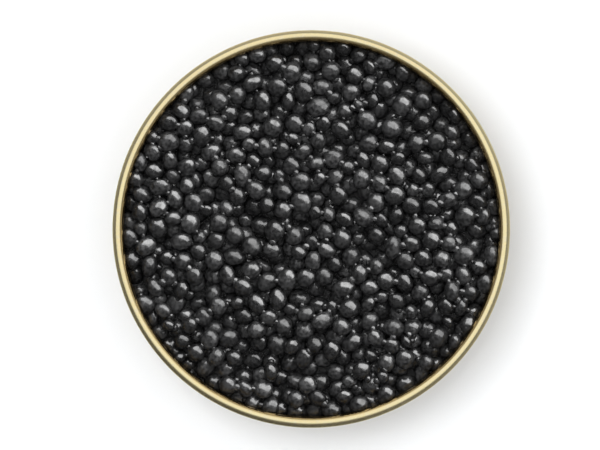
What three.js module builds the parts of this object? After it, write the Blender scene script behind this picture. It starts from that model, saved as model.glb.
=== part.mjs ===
// An open round tin of caviar without its lid, filled nearly to the rim with large dark eggs.
// The tin is one drawn metal cup. Its top edge is rolled outwards into a curl, a shallow shoulder
// lies below the neck, and the base panel is raised inside a ring that the tin stands on.
// The eggs are one heap: a core that fills the tin, and on top a layer of rounded eggs, each with
// its own size and height, that meet in deep creases.
// Millimetres, +Z up. The origin is the centre of the ring that the tin stands on.
import * as THREE from "three";

// Tin
const rimDiameter = 78; // over the curl
const tinHeight = 26;
const curlWidth = 2.1; // of the rolled edge, seen from above
const sheetThickness = 0.5;
const neckHeight = 6.5; // from the top of the rim down to the shoulder
const shoulderDrop = 0.9;
const shoulderStep = 1.1; // the body stands this far outside the neck
const cornerRadius = 2.2; // between the wall and the base, outside
const footRingWidth = 1;
const panelRise = 0.9; // base panel above the foot ring
const panelSlope = 0.8; // how far inwards it climbs
const centreRadius = 24; // raised middle of the base panel
const centreRise = 0.4;
const centreSlope = 0.6;
const sides = 60; // round steps of the tin and of the heap

// Heap of eggs
const eggSpacing = 3.45; // mean distance between neighbours
const eggRadius = 1.75;
const eggRadiusSpread = 0.16; // share of the radius, either way
const heapBelowRim = 1.2; // mean top of the eggs under the top of the rim
const heapWave = 0.22; // slow rise and fall of the surface
const eggLift = 0.5; // one egg above or below its neighbours, either way
const gap = 0.3; // between the heap and the tin
const domeShoulder = 0.6; // where the ring of each dome lies, as a share of the way to its edge
const shortestEdge = 0.15; // corners nearer than this become one
const spreadRounds = 8; // before the eggs get their sizes, and again after
const heapSeed = 20;

// Worked-out sizes of the tin
const curlRadius = curlWidth / 2;
const neckInside = rimDiameter / 2 - curlWidth;
const neckOutside = neckInside + sheetThickness;
const bodyOutside = neckOutside + shoulderStep;
const bodyInside = bodyOutside - sheetThickness;
const shoulderTop = tinHeight - neckHeight;
const footInner = bodyOutside - cornerRadius - footRingWidth;

// A point of a profile, as radius and height, or of a plan, as x and y.
const point = (across, along) => new THREE.Vector2(across, along);

// Points on a round stretch of a profile, from one angle to another in degrees.
function arc(centre, radius, from, to, steps) {
  const points = [];
  for (let i = 0; i <= steps; i++) {
    const angle = THREE.MathUtils.degToRad(from + ((to - from) * i) / steps);
    points.push(point(centre.x + radius * Math.cos(angle), centre.y + radius * Math.sin(angle)));
  }
  return points;
}

// Half of the base, from the axis to the foot ring, for a face this far above the outside one.
function basePoints(above) {
  const shift = above / 2; // keeps the slopes as thick as the flat parts
  return [
    point(0, panelRise + centreRise + above),
    point(centreRadius - centreSlope + shift, panelRise + centreRise + above),
    point(centreRadius + shift, panelRise + above),
    point(footInner - panelSlope + shift, panelRise + above),
    point(footInner + shift, above),
  ];
}

// The round edge between base and wall, for a face this far inside the outside one.
function cornerPoints(inside, steps) {
  const centre = point(bodyOutside - cornerRadius, cornerRadius);
  return arc(centre, cornerRadius - inside, -90, 0, steps);
}

function tinGeometry() {
  const curl = point(rimDiameter / 2 - curlRadius, tinHeight - curlRadius);
  const underCurl = THREE.MathUtils.radToDeg(Math.acos((neckOutside - curl.x) / curlRadius));
  const innerDrop = sheetThickness / 2; // keeps the shoulder as thick as the wall
  const profile = [
    ...basePoints(0),
    ...cornerPoints(0, 4),
    point(bodyOutside, shoulderTop - shoulderDrop),
    point(neckOutside, shoulderTop),
    ...arc(curl, curlRadius, -underCurl, 180, 12),
    point(neckInside, shoulderTop - innerDrop),
    point(bodyInside, shoulderTop - shoulderDrop - innerDrop),
    ...cornerPoints(sheetThickness, 4).reverse(),
    ...basePoints(sheetThickness).reverse(),
  ];
  return new THREE.LatheGeometry(profile, sides).rotateX(Math.PI / 2);
}

// Repeatable random numbers from 0 to 1.
function randomFrom(seed) {
  let state = seed;
  return () => {
    state = (state + 0x6d2b79f5) | 0;
    let mixed = Math.imul(state ^ (state >>> 15), 1 | state);
    mixed = (mixed + Math.imul(mixed ^ (mixed >>> 7), 61 | mixed)) ^ mixed;
    return ((mixed ^ (mixed >>> 14)) >>> 0) / 4294967296;
  };
}

// A round outline on the plan, with as many sides as the tin.
function ring(radius) {
  const corners = [];
  for (let i = 0; i < sides; i++) {
    const angle = (2 * Math.PI * i) / sides;
    corners.push(point(radius * Math.cos(angle), radius * Math.sin(angle)));
  }
  return corners;
}

// The part of an outline that is nearer to one egg than to its neighbour, counting their sizes.
function keepNearer(outline, egg, neighbour) {
  const away = neighbour.centre.clone().sub(egg.centre);
  const sizes = egg.radius ** 2 - neighbour.radius ** 2;
  const limit = (neighbour.centre.lengthSq() - egg.centre.lengthSq() + sizes) / 2;
  const kept = [];
  outline.forEach((corner, i) => {
    const next = outline[(i + 1) % outline.length];
    const here = away.dot(corner) - limit;
    const there = away.dot(next) - limit;
    if (here <= 0) kept.push(corner);
    if (here * there < 0) kept.push(corner.clone().lerp(next, here / (here - there)));
  });
  return kept;
}

// The outline of each egg's own patch of the surface.
function patches(eggs, border) {
  const reach = 4 * eggSpacing;
  return eggs.map((egg) => {
    const near = eggs.filter((other) => other !== egg && other.centre.distanceTo(egg.centre) < reach);
    return near.reduce((outline, other) => keepNearer(outline, egg, other), border);
  });
}

function middleOf(outline) {
  const middle = point(0, 0);
  let area = 0;
  outline.forEach((corner, i) => {
    const next = outline[(i + 1) % outline.length];
    const share = corner.cross(next);
    area += share;
    middle.addScaledVector(corner, share).addScaledVector(next, share);
  });
  return middle.divideScalar(3 * area);
}

// Moves every egg to the middle of its patch, again and again, so that they spread evenly.
function spreadEvenly(eggs, border) {
  for (let round = 0; round < spreadRounds; round++) {
    patches(eggs, border).forEach((outline, i) => eggs[i].centre.copy(middleOf(outline)));
  }
}

// Eggs of uneven size and height, side by side over the round surface.
function scatterEggs(border, surfaceRadius) {
  const random = randomFrom(heapSeed);
  const either = () => 2 * random() - 1;
  const patchArea = (Math.sqrt(3) / 2) * eggSpacing ** 2;
  const count = Math.round((Math.PI * surfaceRadius ** 2) / patchArea);
  const eggs = [];
  for (let i = 0; i < count; i++) {
    const angle = 2 * Math.PI * random();
    const fromMiddle = surfaceRadius * Math.sqrt(random());
    const centre = point(fromMiddle * Math.cos(angle), fromMiddle * Math.sin(angle));
    eggs.push({ centre, radius: eggRadius });
  }
  spreadEvenly(eggs, border);
  for (const egg of eggs) {
    egg.radius = eggRadius * (1 + eggRadiusSpread * either());
  }
  spreadEvenly(eggs, border);
  for (const egg of eggs) {
    const wave = Math.sin(egg.centre.x / 9) + Math.cos((egg.centre.y + egg.centre.x / 3) / 11);
    egg.top = tinHeight - heapBelowRim + heapWave * wave + eggLift * either();
  }
  return eggs;
}

// Height of an egg's round top over a place on the plan, and past its side the height of the side.
function heightOn(egg, place) {
  const rise = Math.max(egg.radius ** 2 - place.distanceToSquared(egg.centre), 0);
  return egg.top - egg.radius + Math.sqrt(rise);
}

// Triangles that share points, built up piece by piece.
class Surface {
  points = [];
  triangles = [];

  addPoint(place, height) {
    return this.points.push(new THREE.Vector3(place.x, place.y, height)) - 1;
  }

  addTriangle(a, b, c) {
    this.triangles.push(a, b, c);
  }

  angleOf(index) {
    const { x, y } = this.points[index];
    const angle = Math.atan2(y, x);
    return angle < 0 ? angle + 2 * Math.PI : angle;
  }

  // The points on the open edge, in order round the middle.
  openEdge() {
    const open = new Set();
    for (let i = 0; i < this.triangles.length; i += 3) {
      const corners = this.triangles.slice(i, i + 3);
      corners.forEach((from, n) => {
        const to = corners[(n + 1) % 3];
        if (!open.delete(to + " " + from)) open.add(from + " " + to);
      });
    }
    const loop = [...open].map((edge) => parseInt(edge));
    return loop.sort((a, b) => this.angleOf(a) - this.angleOf(b));
  }

  // A band of triangles from one loop of points down to the next.
  addBand(upper, lower) {
    const angleAt = (loop, i) => this.angleOf(loop[i % loop.length]) + (i < loop.length ? 0 : 2 * Math.PI);
    let up = 0;
    let low = 0;
    while (up < upper.length || low < lower.length) {
      const here = upper[up % upper.length];
      const below = lower[low % lower.length];
      if (angleAt(upper, up + 1) <= angleAt(lower, low + 1)) {
        up++;
        this.addTriangle(here, below, upper[up % upper.length]);
      } else {
        low++;
        this.addTriangle(here, below, lower[low % lower.length]);
      }
    }
  }

  toGeometry() {
    const geometry = new THREE.BufferGeometry().setFromPoints(this.points);
    geometry.setIndex(this.triangles);
    geometry.computeVertexNormals();
    return geometry;
  }
}

// The corners where patches meet, each shared by the eggs around it and at their mean height.
function sharedCorners(heap, eggs, outlines) {
  const corners = [];
  const cornerAt = (place) => {
    let corner = corners.find((other) => other.place.distanceTo(place) < shortestEdge);
    if (!corner) {
      corner = { place, heights: [] };
      corners.push(corner);
    }
    return corner;
  };
  const shared = outlines.map((outline) => {
    const loop = outline.map(cornerAt);
    return loop.filter((corner, n) => corner !== loop[(n + 1) % loop.length]);
  });
  shared.forEach((loop, i) => {
    for (const corner of loop) corner.heights.push(heightOn(eggs[i], corner.place));
  });
  for (const corner of corners) {
    const sum = corner.heights.reduce((total, height) => total + height, 0);
    corner.index = heap.addPoint(corner.place, sum / corner.heights.length);
  }
  return shared;
}

// One egg: its top, a ring part of the way out, and the corners that it shares.
function addDome(heap, egg, corners) {
  const top = heap.addPoint(egg.centre, egg.top);
  const domeRing = corners.map((corner) => {
    const place = egg.centre.clone().lerp(corner.place, domeShoulder);
    return heap.addPoint(place, heightOn(egg, place));
  });
  corners.forEach((corner, n) => {
    const next = (n + 1) % corners.length;
    heap.addTriangle(top, domeRing[n], domeRing[next]);
    heap.addTriangle(domeRing[n], corner.index, corners[next].index);
    heap.addTriangle(domeRing[n], corners[next].index, domeRing[next]);
  });
}

function heapGeometry() {
  const surfaceRadius = neckInside - gap;
  const bodyRadius = bodyInside - gap;
  const border = ring(surfaceRadius);
  const eggs = scatterEggs(border, surfaceRadius);
  const heap = new Surface();
  sharedCorners(heap, eggs, patches(eggs, border)).forEach((corners, i) => addDome(heap, eggs[i], corners));

  // The side and the underside follow the inside of the tin.
  const [middle, ...base] = basePoints(sheetThickness + gap);
  const profile = [
    point(surfaceRadius, shoulderTop - 2 * gap),
    point(bodyRadius, shoulderTop - shoulderDrop - 2 * gap),
    ...cornerPoints(sheetThickness + gap, 2).reverse(),
    ...base.reverse(),
  ];
  let upper = heap.openEdge();
  for (const step of profile) {
    const lower = ring(step.x).map((place) => heap.addPoint(place, step.y));
    heap.addBand(upper, lower);
    upper = lower;
  }
  const bottom = heap.addPoint(point(0, 0), middle.y);
  upper.forEach((index, i) => heap.addTriangle(index, bottom, upper[(i + 1) % upper.length]));
  return heap.toGeometry();
}

const goldLacquer = new THREE.MeshStandardMaterial({ color: 0xf0dcb0, roughness: 0.25, metalness: 1 });
const wetRoe = new THREE.MeshStandardMaterial({ color: 0x232324, roughness: 0.2, metalness: 0 });

function part(name, geometry, material) {
  const mesh = new THREE.Mesh(geometry, material);
  mesh.name = name;
  return mesh;
}

const openTin = new THREE.Group();
openTin.add(part("tin", tinGeometry(), goldLacquer));
openTin.add(part("caviar", heapGeometry(), wetRoe));

export default openTin;
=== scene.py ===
# Open round tin of caviar: a gold lacquered tin, filled nearly to its rolled rim with black eggs.
# Metres and Z up, as in the frame. Sizes below are written in millimetres, times mm.
import math

import bpy
import numpy as np
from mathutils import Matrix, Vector


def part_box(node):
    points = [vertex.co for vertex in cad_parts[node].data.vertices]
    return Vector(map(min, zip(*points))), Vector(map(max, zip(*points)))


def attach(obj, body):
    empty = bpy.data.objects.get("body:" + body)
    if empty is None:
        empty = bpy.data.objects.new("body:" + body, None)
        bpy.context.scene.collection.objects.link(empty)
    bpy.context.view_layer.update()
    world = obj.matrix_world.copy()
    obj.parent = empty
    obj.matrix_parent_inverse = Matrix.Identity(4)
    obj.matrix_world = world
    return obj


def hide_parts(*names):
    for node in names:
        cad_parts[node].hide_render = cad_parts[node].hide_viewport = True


mm = 0.001
tiny = 1e-9  # keeps a division by a length of nothing from failing

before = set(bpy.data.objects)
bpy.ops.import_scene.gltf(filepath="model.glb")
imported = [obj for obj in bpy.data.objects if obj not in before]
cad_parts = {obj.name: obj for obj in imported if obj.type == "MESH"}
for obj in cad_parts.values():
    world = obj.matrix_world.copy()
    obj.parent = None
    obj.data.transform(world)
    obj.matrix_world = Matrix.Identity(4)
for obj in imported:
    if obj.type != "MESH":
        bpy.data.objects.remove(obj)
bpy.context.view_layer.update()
tinLow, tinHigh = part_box("tin")
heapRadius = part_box("caviar")[1].x
rimRadius = (tinHigh.x - tinLow.x) / 2
tinHeight = tinHigh.z - tinLow.z
print("frame loaded")


def deselectAll():
    if bpy.context.object and bpy.context.object.mode != "OBJECT":
        bpy.ops.object.mode_set(mode="OBJECT")
    bpy.ops.object.select_all(action="DESELECT")


# A socket that takes part in arithmetic: every operator adds its Math node.
class Wire:
    def __init__(self, shader, socket):
        self.shader = shader
        self.socket = socket

    def math(self, operation, *values):
        inputs = dict(enumerate(values))
        return self.shader.node("ShaderNodeMath", {"operation": operation}, inputs)

    def __add__(self, other):
        return self.math("ADD", self, other)

    def __radd__(self, other):
        return self.math("ADD", other, self)

    def __sub__(self, other):
        return self.math("SUBTRACT", self, other)

    def __rsub__(self, other):
        return self.math("SUBTRACT", other, self)

    def __mul__(self, other):
        return self.math("MULTIPLY", self, other)

    def __rmul__(self, other):
        return self.math("MULTIPLY", other, self)

    def __truediv__(self, other):
        return self.math("DIVIDE", self, other)

    def __rtruediv__(self, other):
        return self.math("DIVIDE", other, self)

    def __pow__(self, other):
        return self.math("POWER", self, other)

    def __rpow__(self, other):
        return self.math("POWER", other, self)


# One node tree, of a material or of the world.
class Shader:
    def __init__(self, tree):
        self.tree = tree
        tree.nodes.clear()

    def node(self, kind, settings=None, inputs=None, output=0):
        made = self.tree.nodes.new(kind)
        for name, value in (settings or {}).items():
            setattr(made, name, value)
        for name, value in (inputs or {}).items():
            if isinstance(value, Wire):
                self.tree.links.new(value.socket, made.inputs[name])
            else:
                made.inputs[name].default_value = value
        return Wire(self, made.outputs[output]) if made.outputs else None

    def place(self):
        return self.node("ShaderNodeTexCoord", output="Object")

    def noise(self, vector, scale, detail=2, roughness=0.5):
        inputs = {"Vector": vector, "Scale": scale, "Detail": detail, "Roughness": roughness}
        return self.node("ShaderNodeTexNoise", {}, inputs)

    # From 0 at low to 1 at high, and level past them.
    def remap(self, value, low, high):
        inputs = {"Value": value, "From Min": low, "From Max": high}
        return self.node("ShaderNodeMapRange", {"clamp": True}, inputs)

    def blend(self, factor, first, second):
        inputs = {0: factor, 6: first, 7: second}
        return self.node("ShaderNodeMix", {"data_type": "RGBA"}, inputs, output=2)

    def bump(self, height, distance, under=None):
        inputs = {"Height": height, "Distance": distance, "Strength": 1}
        if under:
            inputs["Normal"] = under
        return self.node("ShaderNodeBump", {}, inputs)

    def finish(self, constants, linked):
        surface = self.node("ShaderNodeBsdfPrincipled", {}, {**constants, **linked})
        self.node("ShaderNodeOutputMaterial", {}, {"Surface": surface})


def newMaterial(name):
    material = bpy.data.materials.new(name)
    material.use_nodes = True
    print("material", name)
    return material, Shader(material.node_tree)


# A share from 0 to 1, lifted so that it never falls below the least.
def lift(share, least):
    return least + (1 - least) * share


# Pale champagne lacquer over drawn tinplate, with painted shade inside the neck. Draw lines run round
# the wall and in rings on the base.
def goldLacquer():
    look = {
        "gold": (0.88, 0.77, 0.45, 1),
        "warmGold": (0.85, 0.70, 0.40, 1),
        "warmShare": 0.45,
        "patchScale": 45,
        "patchRange": (0.4, 0.68),
        "wornGold": (0.80, 0.74, 0.62, 1),
        "wornShare": 0.35,
        "wornHeights": (tinHeight - 0.35 * mm, tinHeight - 0.02 * mm),
        "speckScale": 1400,
        "speckRange": (0.5, 0.72),
        "wallGold": (0.79, 0.61, 0.29, 1),
        "wallWarmShare": 0.4,
        "wallHeights": (tinHeight - 0.9 * mm, tinHeight - 1.8 * mm),
        "neckShadeGold": (0.80, 0.56, 0.22, 1),  # painted shade: a deeper, darker gold on the inside of the neck
        "insideRadii": (rimRadius - 1.3 * mm, rimRadius - 1.9 * mm),
        "insideHeights": (tinHeight - 8 * mm, tinHeight - 5 * mm),
        "roughness": 0.18,
        "lineRoughness": 0.06,
        "dullRoughness": 0.04,
        "dullRange": (0.35, 0.7),
        "lineScale": 1800,
        "lineLength": 1.6 * mm,
        "lineDepth": 0.0015 * mm,
        "dentScale": 60,
        "dentDepth": 0.008 * mm,
    }
    material, shader = newMaterial("gold_lacquer")
    place = shader.place()
    x = shader.node("ShaderNodeSeparateXYZ", {}, {0: place}, output="X")
    y = shader.node("ShaderNodeSeparateXYZ", {}, {0: place}, output="Y")
    z = shader.node("ShaderNodeSeparateXYZ", {}, {0: place}, output="Z")
    radius = (x * x + y * y) ** 0.5
    east = x / radius * look["lineLength"]
    north = y / radius * look["lineLength"]
    rings = shader.node("ShaderNodeCombineXYZ", {}, {"X": east, "Y": north, "Z": radius + z})
    lines = shader.noise(rings, look["lineScale"], detail=3)
    patches = shader.noise(place, look["patchScale"], detail=3)
    specks = shader.noise(place, look["speckScale"], detail=2)
    dents = shader.noise(place, look["dentScale"], detail=1)

    tone = shader.remap(patches, *look["patchRange"])
    colour = shader.blend(tone * look["warmShare"], look["gold"], look["warmGold"])
    nearEdge = shader.remap(z, *look["wornHeights"])
    worn = nearEdge * shader.remap(specks, *look["speckRange"]) * look["wornShare"]
    colour = shader.blend(worn, colour, look["wornGold"])
    belowRim = shader.remap(z, *look["wallHeights"])
    wall = shader.blend(tone * look["wallWarmShare"], look["wallGold"], look["warmGold"])
    colour = shader.blend(belowRim, colour, wall)
    # Painted shade: the inside of the neck, below the curl, takes the deeper, darker gold.
    inside = shader.remap(radius, *look["insideRadii"])
    above = shader.remap(z, *look["insideHeights"])
    colour = shader.blend(inside * above, colour, look["neckShadeGold"])

    # Below about 0.27 all over: where the roughness crossed that, the denoised render had veins.
    dull = shader.remap(patches, *look["dullRange"])
    roughness = look["roughness"] + look["lineRoughness"] * lines + look["dullRoughness"] * dull
    fine = shader.bump(lines, look["lineDepth"])
    normal = shader.bump(dents, look["dentDepth"], fine)
    shader.finish(
        {"Metallic": 1.0, "IOR": 1.5},
        {"Base Color": colour, "Roughness": roughness, "Normal": normal},
    )
    return material


# Black egg skin with a film of brine. Each egg has its own tone, kept in the eggTone attribute.
def wetRoe():
    look = {
        "dark": (0.003, 0.003, 0.0031, 1),
        "light": (0.034, 0.034, 0.0347, 1),
        "leastTone": 0.25,
        "leastMottle": 0.06,
        "mottleScale": 1500,
        "mottleRange": (0.38, 0.66),
        "wetnessRepeat": 7.3,
        "leastWetness": 0.35,
        "leastFilm": 0.5,
        "filmScale": 1100,
        "filmRange": (0.38, 0.58),
        "roughness": 0.22,
        "toneRoughness": 0.15,
        "filmRoughness": 0.1,
        "grainScale": 2600,
        "grainDepth": 0.012 * mm,
        "rippleScale": 800,
        "rippleDepth": 0.14 * mm,
        "smoothRipple": 0.8,
        "toneRipple": 1.6,
    }
    material, shader = newMaterial("wet_roe")
    place = shader.place()
    tone = shader.node("ShaderNodeAttribute", {"attribute_name": "eggTone"}, {}, output="Fac")
    spread = tone * look["wetnessRepeat"]
    wetness = spread.math("FRACT", spread)  # a second share for each egg, drawn from its tone
    film = shader.remap(shader.noise(place, look["filmScale"], detail=3), *look["filmRange"])
    grain = shader.noise(place, look["grainScale"], detail=2)
    ripple = shader.noise(place, look["rippleScale"], detail=1)
    spots = shader.noise(place, look["mottleScale"], roughness=0.6)
    mottle = shader.remap(spots, *look["mottleRange"])

    shade = lift(tone, look["leastTone"]) * lift(mottle, look["leastMottle"])
    colour = shader.blend(shade, look["dark"], look["light"])
    roughness = look["roughness"] + look["toneRoughness"] * tone + look["filmRoughness"] * film
    wetFilm = lift(wetness, look["leastWetness"]) * lift(film, look["leastFilm"])
    wrinkle = ripple * (look["smoothRipple"] + look["toneRipple"] * tone)
    fine = shader.bump(grain, look["grainDepth"])
    normal = shader.bump(wrinkle, look["rippleDepth"], fine)
    shader.finish(
        {"IOR": 1.22, "Coat IOR": 1.5, "Coat Roughness": 0.18},
        {"Base Color": colour, "Roughness": roughness, "Coat Weight": wetFilm, "Normal": normal},
    )
    return material


def paleFloor():
    look = {
        "low": (0.79, 0.808, 0.832, 1),  # slightly cool, as the gold wall throws warm light on it
        "high": (0.808, 0.826, 0.85, 1),
        "cloudScale": 6,
        "roughness": 0.6,
        "cloudRoughness": 0.1,
    }
    material, shader = newMaterial("pale_floor")
    cloud = shader.noise(shader.place(), look["cloudScale"])
    colour = shader.blend(cloud, look["low"], look["high"])
    roughness = look["roughness"] + look["cloudRoughness"] * cloud
    shader.finish({"Specular IOR Level": 0.2}, {"Base Color": colour, "Roughness": roughness})
    return material


# Points on a round stretch, from one angle to another in degrees, as (radius, height).
def arc(centre, radius, start, end, steps):
    points = []
    for i in range(steps + 1):
        angle = math.radians(start + (end - start) * i / steps)
        points.append((centre[0] + radius * math.cos(angle), centre[1] + radius * math.sin(angle)))
    return points


# A run of tangent arcs over the rim. Each stretch is (radius, start tilt, end tilt, steps), with the
# tilt of the surface away from level in degrees, outwards positive.
def overRim(start, stretches):
    points = [start]
    for radius, tiltFrom, tiltTo, steps in stretches:
        for i in range(steps):
            first = math.radians(tiltFrom + (tiltTo - tiltFrom) * i / steps)
            second = math.radians(tiltFrom + (tiltTo - tiltFrom) * (i + 1) / steps)
            across, up = points[-1]
            across -= radius * (math.sin(first) - math.sin(second))
            up += radius * (math.cos(second) - math.cos(first))
            points.append((across, up))
    return points


# The solid's own sizes, and the steps of its round stretches here.
cup = {
    "curlWidth": 2.1 * mm,
    "sheet": 0.5 * mm,
    "neckHeight": 6.5 * mm,
    "shoulderDrop": 0.9 * mm,
    "shoulderStep": 1.1 * mm,
    "cornerRadius": 2.2 * mm,
    "footRing": 1.0 * mm,
    "panelRise": 0.9 * mm,
    "panelSlope": 0.8 * mm,
    "centreRadius": 24 * mm,
    "centreRise": 0.4 * mm,
    "centreSlope": 0.6 * mm,
    "cornerSteps": 10,
    "innerCornerSteps": 8,
    "shoulderSteps": 8,
}


# A soft step from one radius in to another, going up.
def softStep(outer, inner, low, high, steps):
    points = []
    for i in range(steps + 1):
        ease = (1 - math.cos(math.pi * i / steps)) / 2
        points.append((outer + (inner - outer) * ease, low + (high - low) * i / steps))
    return points


def tinProfile():
    # Over the top as tangent arcs: a narrow outer flank, a low crown, and the roll into the neck.
    curl = {
        "over": [
            (0.08 * mm, 90, 42, 3),
            (5.0 * mm, 42, 34, 4),
            (0.25 * mm, 34, 17, 4),
            (1.3 * mm, 17, -17, 14),
            (0.8 * mm, -17, -45, 6),
            (0.3 * mm, -45, -62, 3),
            (2.6 * mm, -62, -80, 8),
            (0.5 * mm, -80, -90, 3),
        ],
        "flankHeight": 0.5 * mm,
        "underRadius": 0.45 * mm,
        "underFrom": -105,
        "underSteps": 6,
        # Where the sheet ends under the curl: across from the neck, and up from the flank's foot.
        "tuck": [(0, -0.1 * mm), (0.12 * mm, -0.02 * mm), (0.2 * mm, -0.36 * mm)],
        "guard": 0.4 * mm,  # the wall stays straight this far past the shoulder and the corner
    }
    neckInside = rimRadius - cup["curlWidth"]
    neckOutside = neckInside + cup["sheet"]
    bodyOutside = neckOutside + cup["shoulderStep"]
    bodyInside = bodyOutside - cup["sheet"]
    shoulderTop = tinHeight - cup["neckHeight"]
    shoulderLow = shoulderTop - cup["shoulderDrop"]
    corner = (bodyOutside - cup["cornerRadius"], cup["cornerRadius"])
    footInner = corner[0] - cup["footRing"]

    # Half of the base, from the axis to the foot ring, for a face this far above the outside one.
    def base(above):
        shift = above / 2
        top = cup["panelRise"] + cup["centreRise"] + above
        return [
            (0, top),
            (cup["centreRadius"] - cup["centreSlope"] + shift, top),
            (cup["centreRadius"] + shift, cup["panelRise"] + above),
            (footInner - cup["panelSlope"] + shift, cup["panelRise"] + above),
            (footInner + shift, above),
        ]

    rim = overRim((rimRadius, 0), curl["over"])
    toTop = tinHeight - max(height for _, height in rim)
    inward = neckInside - rim[-1][0]
    rim = [(across + inward * i / (len(rim) - 1), up + toTop) for i, (across, up) in enumerate(rim)]
    flankFoot = rim[0][1] - curl["flankHeight"]
    underCentre = (rimRadius - curl["underRadius"], flankFoot)
    under = arc(underCentre, curl["underRadius"], curl["underFrom"], 0, curl["underSteps"])
    tuck = [(neckOutside + across, flankFoot + up) for across, up in curl["tuck"]]
    innerDrop = cup["sheet"] / 2
    guard = curl["guard"]
    steps = cup["shoulderSteps"]
    outerStep = softStep(bodyOutside, neckOutside, shoulderLow, shoulderTop, steps)
    innerStep = softStep(bodyInside, neckInside, shoulderLow - innerDrop, shoulderTop - innerDrop, steps)
    return [
        *base(0),
        *arc(corner, cup["cornerRadius"], -90, 0, cup["cornerSteps"]),
        (bodyOutside, corner[1] + guard),
        (bodyOutside, shoulderLow - guard),
        *outerStep,
        (neckOutside, shoulderTop + guard),
        *tuck,
        *under,
        *rim,
        (neckInside, shoulderTop + guard),
        *reversed(innerStep),
        (bodyInside, shoulderLow - innerDrop - guard),
        *arc(corner, cup["cornerRadius"] - cup["sheet"], 0, -90, cup["innerCornerSteps"]),
        *reversed(base(cup["sheet"])),
    ]


def makeTin(material):
    making = {
        "roundSteps": 192,
        "shortest": 0.0001 * mm,
        "weld": 0.001 * mm,
        "smoothBelow": 50,  # degrees between two faces
    }
    profile = [Vector((across, 0, up)) for across, up in tinProfile()]
    deselectAll()
    bpy.ops.mesh.primitive_plane_add(size=0.5 * mm, location=profile[0])
    tin = bpy.context.object
    tin.name = "tin_shell"
    bpy.ops.object.mode_set(mode="EDIT")
    bpy.ops.mesh.merge(type="CENTER")
    for here, there in zip(profile, profile[1:]):
        step = there - here
        if step.length > making["shortest"]:
            bpy.ops.mesh.extrude_region_move(TRANSFORM_OT_translate={"value": step})
    bpy.ops.mesh.select_all(action="SELECT")
    bpy.ops.mesh.spin(steps=making["roundSteps"], angle=2 * math.pi, center=(0, 0, 0), axis=(0, 0, 1))
    bpy.ops.mesh.select_all(action="SELECT")
    bpy.ops.mesh.remove_doubles(threshold=making["weld"])
    bpy.ops.mesh.normals_make_consistent(inside=False)
    bpy.ops.object.mode_set(mode="OBJECT")
    bpy.ops.object.transform_apply(location=True, rotation=True, scale=True)
    bpy.ops.object.shade_smooth_by_angle(angle=math.radians(making["smoothBelow"]))
    tin.data.materials.clear()
    tin.data.materials.append(material)
    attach(tin, "root")
    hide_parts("tin")
    print("tin made,", len(tin.data.polygons), "faces")
    return tin


heap = {
    "seed": 12,
    "eggRadius": 1.93 * mm,
    "radiusSpread": 0.26 * mm,
    "deviation": 0.6,  # of the spread, which is cut off at one either way
    "smallShare": 0.15,
    "smallRadius": 1.45 * mm,
    "smallSpread": (0.9, 1.15),
    "depth": 6.4 * mm,  # of the layer of single eggs
    "overfill": 2.4 * mm,  # the layer is this much deeper before it is skimmed
    "fill": 0.85,  # the eggs' volume, as a share of that layer's
    "startWithin": 0.97,
    "startDepth": 1.2,
    "neckRadius": rimRadius - cup["curlWidth"] - 0.02 * mm,
    "wallSqueeze": 0.55,  # how far the wall may press into an egg, as a share of its radius
    "level": tinHeight - 1.2 * mm,
    "wave": 0.22 * mm,
    "waveAcross": 9,  # millimetres for each radian
    "waveAlong": 11,
    "waveSlant": 3,
    "lump": 0.22 * mm,
    "lumpWaves": 9,
    "lumpSpacing": 9 * mm,
    "lumpSpread": (0.7, 1.6),
    "skimAbove": 0.6 * mm,
    "lidAbove": 0.5 * mm,
    "lidPress": 0.3,  # the share of what stands past the lid that one pass takes off
    "settleRounds": 240,
    "easeRounds": 30,
    "reach": 1.25,
    "pairRounds": 8,
    "passes": 2,
    "sinkStep": 0.05 * mm,
    "squeeze": 0.06,  # how much nearer than touching two eggs may come, as a share
    "push": 0.4,
}


# Slow rise and fall of the surface, as in the solid.
def surfaceHeight(x, y):
    across = x / mm
    along = y / mm
    slanted = along + across / heap["waveSlant"]
    wave = np.sin(across / heap["waveAcross"]) + np.cos(slanted / heap["waveAlong"])
    return heap["level"] + heap["wave"] * wave


# Lumps and hollows a few eggs wide, from slanted waves added up.
def lumpHeight(random, x, y):
    height = np.zeros_like(x)
    for _ in range(heap["lumpWaves"]):
        turn = random.uniform(0, math.pi)
        spacing = heap["lumpSpacing"] * random.uniform(*heap["lumpSpread"])
        run = (x * math.cos(turn) + y * math.sin(turn)) / spacing * 2 * math.pi
        height += heap["lump"] * np.sin(run + random.uniform(0, 2 * math.pi))
    return height


# Eggs that touch or nearly do, each pair once.
def nearPairs(places, radii):
    offset = places[:, None, :] - places[None, :, :]
    distance = np.sqrt((offset**2).sum(2))
    reach = heap["reach"] * (radii[:, None] + radii[None, :])
    first, second = np.nonzero(np.triu(distance < reach, 1))
    return first, second


# Loose eggs sink onto each other and move apart, under a lid at a height above the level.
def settle(places, radii, lidAbove, rounds):
    floor = heap["level"] - heap["depth"]
    for step in range(rounds):
        if step % heap["pairRounds"] == 0:
            first, second = nearPairs(places, radii)
        places[:, 2] -= heap["sinkStep"] * (1 - step / rounds)
        for _ in range(heap["passes"]):
            offset = places[second] - places[first]
            distance = np.sqrt((offset**2).sum(1)) + tiny
            overlap = (radii[first] + radii[second]) * (1 - heap["squeeze"]) - distance
            push = np.clip(overlap, 0, None) * heap["push"] / distance
            move = offset * push[:, None]
            np.add.at(places, first, -move)
            np.add.at(places, second, move)
            out = np.sqrt(places[:, 0] ** 2 + places[:, 1] ** 2) + tiny
            most = heap["neckRadius"] - radii * (1 - heap["wallSqueeze"])
            places[:, :2] *= np.minimum(1, most / out)[:, None]
            lid = surfaceHeight(places[:, 0], places[:, 1]) + lidAbove - radii
            over = np.clip(places[:, 2] - lid, 0, None)
            places[:, 2] -= over * heap["lidPress"]
            places[:, 2] = np.maximum(places[:, 2], floor + radii)


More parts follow.
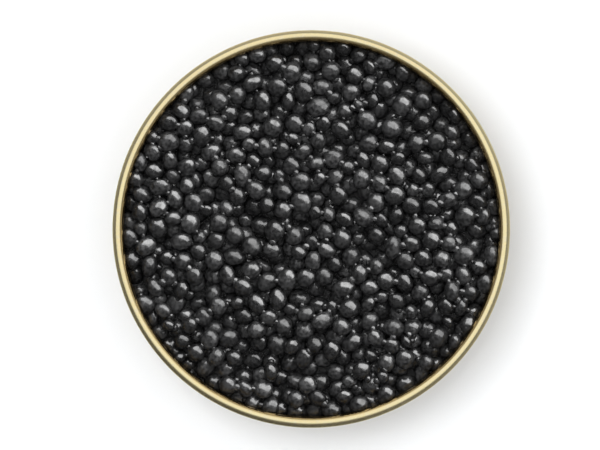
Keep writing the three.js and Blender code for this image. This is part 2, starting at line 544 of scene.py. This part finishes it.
# The tin is filled past its level, skimmed, and the eggs that are left settle again.
def fillTin():
    random = np.random.default_rng(heap["seed"])
    depth = heap["depth"] + heap["overfill"]
    slab = math.pi * heap["neckRadius"] ** 2 * depth
    eggVolume = 4 / 3 * math.pi * heap["eggRadius"] ** 3
    count = int(heap["fill"] * slab / eggVolume)
    spread = np.clip(random.normal(0, heap["deviation"], count), -1, 1)
    radii = heap["eggRadius"] + heap["radiusSpread"] * spread
    small = random.random(count) < heap["smallShare"]
    radii[small] = heap["smallRadius"] * random.uniform(*heap["smallSpread"], small.sum())
    angle = random.uniform(0, 2 * math.pi, count)
    across = heap["neckRadius"] * heap["startWithin"] * np.sqrt(random.random(count))
    height = heap["level"] - heap["depth"] + depth * heap["startDepth"] * random.random(count)
    places = np.stack([across * np.cos(angle), across * np.sin(angle), height], 1)
    settle(places, radii, heap["overfill"], heap["settleRounds"])
    top = places[:, 2] + radii - surfaceHeight(places[:, 0], places[:, 1])
    left = top < lumpHeight(random, places[:, 0], places[:, 1]) + heap["skimAbove"]
    places = places[left]
    radii = radii[left]
    settle(places, radii, heap["lidAbove"], heap["easeRounds"])
    print("tin filled,", len(places), "eggs")
    return places, radii, random


# One round ball, modelled once: a cube subdivided and drawn out to a sphere.
def modelBall(cuts):
    deselectAll()
    bpy.ops.mesh.primitive_cube_add(size=2)
    ball = bpy.context.object
    bpy.ops.object.mode_set(mode="EDIT")
    bpy.ops.mesh.select_all(action="SELECT")
    bpy.ops.mesh.subdivide(number_cuts=cuts)
    bpy.ops.transform.tosphere(value=1)
    bpy.ops.object.mode_set(mode="OBJECT")
    shape = np.array([v.co for v in ball.data.vertices], float)
    shape /= np.linalg.norm(shape, axis=1)[:, None]
    faces = np.array([list(p.vertices) for p in ball.data.polygons])
    bpy.data.objects.remove(ball)
    return shape, faces


# Many copies of one ball, each with its own points, as one joined mesh with a tone for each.
def joinBalls(name, points, unitFaces, tones, material):
    count = len(tones)
    perBall = len(points) // count
    faces = (unitFaces[None] + (np.arange(count) * perBall)[:, None, None]).reshape(-1, 4)
    mesh = bpy.data.meshes.new(name)
    mesh.from_pydata(points.tolist(), [], faces.tolist())
    tone = mesh.attributes.new("eggTone", "FLOAT", "POINT")
    tone.data.foreach_set("value", np.repeat(tones, perBall).astype(np.float32))
    mesh.shade_smooth()
    mesh.materials.append(material)
    joined = bpy.data.objects.new(name, mesh)
    bpy.context.scene.collection.objects.link(joined)
    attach(joined, "root")
    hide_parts("caviar")
    print(name, "made,", count, "balls,", len(mesh.polygons), "faces")
    return joined


# A random turn, from a random quaternion.
def randomTurn(random):
    quaternion = random.normal(size=4)
    a, b, c, d = quaternion / np.linalg.norm(quaternion)
    return np.array(
        [
            [1 - 2 * (c * c + d * d), 2 * (b * c - a * d), 2 * (b * d + a * c)],
            [2 * (b * c + a * d), 1 - 2 * (b * b + d * d), 2 * (c * d - a * b)],
            [2 * (b * d - a * c), 2 * (c * d + a * b), 1 - 2 * (b * b + c * c)],
        ]
    )


# Presses the part of a shape that lies past a plane back towards it. The plane is given by its
# direction from the egg's middle and its distance.
def flatten(shape, direction, distance, share):
    past = shape @ direction - distance
    shape -= np.clip(past, 0, None)[:, None] * direction * share


# Where the plane on which two balls meet lies, as a distance from the first one's middle.
def meetingPlane(distance, radius, otherRadius):
    return (distance**2 + radius**2 - otherRadius**2) / (2 * distance)


# Points past the neck's wall are pressed back onto it.
def keepInNeck(points):
    out = np.hypot(points[:, 0], points[:, 1])
    points[:, :2] *= np.minimum(1, heap["neckRadius"] / out)[:, None]


# Each egg is an uneven ball with a few soft flats, pressed on the eggs that it touches.
def makeEggs(places, radii, random, material):
    egg = {
        "oval": 0.18,
        "ovalLimit": 1.4,
        "press": 0.04,
        "flats": 4,
        "flatFrom": (0.6, 0.9),
        "flatShare": 0.35,
        "touching": 1.1,
        "touchShare": 0.96,
    }
    unitShape, unitFaces = modelBall(cuts=2)
    wider = 1 + egg["press"] / 3
    shapes = []
    for radius in radii:
        stretch = 1 + egg["oval"] * np.clip(random.normal(size=3), -egg["ovalLimit"], egg["ovalLimit"])
        turn = randomTurn(random)
        shape = unitShape @ randomTurn(random) * (stretch / stretch.mean()) @ turn * radius
        shape *= (wider, wider, 1 - egg["press"])
        for _ in range(egg["flats"]):
            direction = random.normal(size=3)
            direction /= np.linalg.norm(direction)
            flatten(shape, direction, radius * random.uniform(*egg["flatFrom"]), egg["flatShare"])
        shapes.append(shape)
    first, second = nearPairs(places, radii)
    for a, b in zip(first, second):
        offset = places[b] - places[a]
        distance = np.linalg.norm(offset)
        middle = meetingPlane(distance, radii[a], radii[b])
        if middle < radii[a] * egg["touching"]:
            flatten(shapes[a], offset / distance, middle, egg["touchShare"])
            flatten(shapes[b], -offset / distance, distance - middle, egg["touchShare"])
    points = np.concatenate([shape + place for shape, place in zip(shapes, places)])
    keepInNeck(points)
    return joinBalls("caviar_eggs", points, unitFaces, random.random(len(places)), material)


# Beads of brine in the notches where two eggs near the surface meet.
def makeBrine(places, radii, random, material):
    bead = {
        "share": 0.5,
        "smallest": 0.26 * mm,
        "largest": 0.8 * mm,
        "deepest": 3.9 * mm,
        "upTheNotch": 0.75,
        "rise": 0.3,
        "stretch": 0.3,
    }
    unitShape, unitFaces = modelBall(cuts=1)
    first, second = nearPairs(places, radii)
    points = []
    for a, b in zip(first, second):
        offset = places[b] - places[a]
        distance = np.linalg.norm(offset)
        along = offset / distance
        middle = meetingPlane(distance, radii[a], radii[b])
        notch = places[a] + along * middle
        low = surfaceHeight(notch[0], notch[1]) - bead["deepest"]
        if middle > radii[a] or notch[2] < low or random.random() > bead["share"]:
            continue
        upward = np.array([0, 0, 1]) - along * along[2]
        upward /= np.linalg.norm(upward) + tiny
        size = random.uniform(bead["smallest"], bead["largest"])
        reach = math.sqrt(radii[a] ** 2 - middle**2) + size * bead["rise"]
        shape = unitShape * size * (1 + bead["stretch"] * np.abs(along))
        points.append(shape + notch + upward * reach * bead["upTheNotch"])
    tones = random.random(len(points))
    points = np.concatenate(points)
    keepInNeck(points)
    return joinBalls("brine_beads", points, unitFaces, tones, material)


# The eggs below the ones that show, as one mass that follows the inside of the tin.
def makeCore(material):
    core = {
        "sides": 96,
        "cornerSteps": 5,
        "gap": 0.3 * mm,
        "top": heap["level"] - heap["depth"] + 0.3 * mm,
        "topInset": 1.5 * mm,
        "topSink": 0.4 * mm,
    }
    above = cup["sheet"] + core["gap"]
    cornerRadius = cup["cornerRadius"] - above
    corner = (heapRadius - cornerRadius, above + cornerRadius)
    footInner = corner[0] - cup["footRing"]
    middle = cup["panelRise"] + cup["centreRise"] + above
    rings = [
        (cup["centreRadius"] + above / 2, cup["panelRise"] + above),
        (footInner - cup["panelSlope"] + above / 2, cup["panelRise"] + above),
        (footInner + above / 2, above),
        *arc(corner, cornerRadius, -90, 0, core["cornerSteps"]),
        (heapRadius, core["top"]),
        (heapRadius - core["topInset"], core["top"] - core["topSink"]),
    ]
    across = cup["centreRadius"] - cup["centreSlope"] + above / 2
    deselectAll()
    bpy.ops.mesh.primitive_circle_add(
        vertices=core["sides"], radius=across, fill_type="NGON", location=(0, 0, middle)
    )
    mass = bpy.context.object
    mass.name = "caviar_core"
    bpy.ops.object.mode_set(mode="EDIT")
    bpy.ops.mesh.select_all(action="SELECT")
    bpy.ops.mesh.region_to_loop()
    height = middle
    for ringRadius, ringHeight in rings:
        bpy.ops.mesh.extrude_edges_move(TRANSFORM_OT_translate={"value": (0, 0, ringHeight - height)})
        grow = ringRadius / across
        bpy.ops.transform.resize(value=(grow, grow, 1), center_override=(0, 0, ringHeight))
        across = ringRadius
        height = ringHeight
    bpy.ops.mesh.edge_face_add()
    bpy.ops.mesh.select_all(action="SELECT")
    bpy.ops.mesh.normals_make_consistent(inside=False)
    bpy.ops.object.mode_set(mode="OBJECT")
    bpy.ops.object.transform_apply(location=True, rotation=True, scale=True)
    mass.data.materials.append(material)
    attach(mass, "root")
    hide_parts("caviar")
    print("core made,", len(mass.data.polygons), "faces")
    return mass


def makeFloor(material):
    width = 8  # metres
    deselectAll()
    bpy.ops.mesh.primitive_plane_add(size=width, location=(0, 0, 0))
    floor = bpy.context.object
    floor.name = "floor"
    floor.data.materials.append(material)
    print("floor made")


# A soft light, seen from the tin at its azimuth (0 is +X, 90 is +Y) and its angle from straight up.
def softbox(name, look, onlyOn=()):
    light = bpy.data.lights.new(name, "AREA")
    light.shape = "RECTANGLE"
    light.size = look["width"]
    light.size_y = look["depth"]
    light.energy = look["radiance"] * math.pi * look["width"] * look["depth"]
    box = bpy.data.objects.new(name, light)
    bpy.context.scene.collection.objects.link(box)
    turn = math.radians(look["azimuth"])
    lean = math.radians(look["fromTop"])
    away = Vector((math.cos(turn) * math.sin(lean), math.sin(turn) * math.sin(lean), math.cos(lean)))
    box.location = away * look["distance"]
    box.rotation_euler = away.to_track_quat("Z", "Y").to_euler()
    box.visible_camera = False
    box.visible_glossy = look["gloss"]
    box.visible_diffuse = look["shade"]
    if onlyOn:
        receivers = bpy.data.collections.new(name + "_on")
        for piece in onlyOn:
            receivers.objects.link(piece)
        box.light_linking.receiver_collection = receivers


def lightScene(tinPiece, roePieces):
    overhead = {
        "azimuth": 70,
        "fromTop": 6,
        "distance": 1.7,
        "width": 2.2,
        "depth": 2.2,
        "radiance": 0.12,
        "gloss": True,
        "shade": True,
    }
    rimPanel = {
        "azimuth": 74,
        "fromTop": 17,
        "distance": 1.5,
        "width": 2.0,
        "depth": 2.0,
        "radiance": 0.72,
        "gloss": True,
        "shade": True,
    }
    window = {
        "azimuth": 62,
        "fromTop": 54,
        "distance": 1.0,
        "width": 2.6,
        "depth": 1.2,
        "radiance": 10.8,
        "gloss": True,
        "shade": False,
    }
    frontal = {
        "azimuth": 90,
        "fromTop": 2,
        "distance": 1.6,
        "width": 0.5,
        "depth": 0.5,
        "radiance": 14,
        "gloss": False,
        "shade": True,
    }
    side = {
        "azimuth": 60,
        "fromTop": 42,
        "distance": 1.6,
        "width": 0.5,
        "depth": 0.5,
        "radiance": 25,
        "gloss": False,
        "shade": True,
    }
    key = {
        "azimuth": 151,
        "fromTop": 12.5,
        "distance": 1.6,
        "width": 0.55,
        "depth": 0.55,
        "radiance": 11.3,
        "gloss": False,
        "shade": True,
    }
    fill = {
        "azimuth": 90,
        "fromTop": 0,
        "distance": 1.5,
        "width": 3.5,
        "depth": 3.5,
        "radiance": 1.3,
        "gloss": False,
        "shade": True,
    }
    softbox("overhead", overhead)
    softbox("rimPanel", rimPanel, [tinPiece])
    softbox("window", window, roePieces)
    softbox("frontal", frontal, roePieces)
    softbox("side", side, roePieces)
    softbox("key", key)
    softbox("fill", fill)
    print("lights placed")


# The room round the tin, brighter on the window's side and dimmer overhead.
def makeRoom():
    room = {
        "light": (1, 1, 1, 1),
        "windowSide": 66,
        "horizon": 0.28,
        "horizonSwing": 0.25,
        "zenith": 0.18,
        "riseRange": (0.1, 0.7),
    }
    world = bpy.data.worlds.new("studio")
    bpy.context.scene.world = world
    world.use_nodes = True
    shader = Shader(world.node_tree)
    direction = shader.node("ShaderNodeTexCoord", output="Generated")
    east = shader.node("ShaderNodeSeparateXYZ", {}, {0: direction}, output="X")
    north = shader.node("ShaderNodeSeparateXYZ", {}, {0: direction}, output="Y")
    height = shader.node("ShaderNodeSeparateXYZ", {}, {0: direction}, output="Z")
    towards = math.radians(room["windowSide"])
    facing = east * math.cos(towards) + north * math.sin(towards)
    low = room["horizon"] + room["horizonSwing"] * facing
    rise = shader.remap(height, *room["riseRange"])
    level = low + rise * (room["zenith"] - low)
    inputs = {"Color": room["light"], "Strength": level}
    background = shader.node("ShaderNodeBackground", {}, inputs)
    shader.node("ShaderNodeOutputWorld", {}, {"Surface": background})
    print("room made")


def placeCamera():
    view = {
        "widthPx": 600,
        "heightPx": 450,
        "rimCentrePx": (311.3, 229.0),  # in the photograph
        "rimRadiusPx": 199.0,
        "distance": 1.0,  # above the top of the rim
        "sensor": 36,
        "farthest": 20,
    }
    pixel = rimRadius / view["rimRadiusPx"]
    x = (view["widthPx"] / 2 - view["rimCentrePx"][0]) * pixel
    y = (view["rimCentrePx"][1] - view["heightPx"] / 2) * pixel
    camera = bpy.data.objects.new("camera", bpy.data.cameras.new("camera"))
    bpy.context.scene.collection.objects.link(camera)
    camera.location = (x, y, tinHeight + view["distance"])
    camera.data.sensor_width = view["sensor"]
    camera.data.lens = view["sensor"] * view["distance"] / (view["widthPx"] * pixel)
    camera.data.clip_end = view["farthest"]
    bpy.context.scene.camera = camera
    print("camera placed")


gold = goldLacquer()
roe = wetRoe()
tin = makeTin(gold)
places, radii, random = fillTin()
eggs = makeEggs(places, radii, random, roe)
beads = makeBrine(places, radii, random, roe)
core = makeCore(roe)
makeFloor(paleFloor())
lightScene(tin, [eggs, beads, core])
makeRoom()
placeCamera()
bpy.context.scene.view_settings.view_transform = "Standard"
print("scene ready")
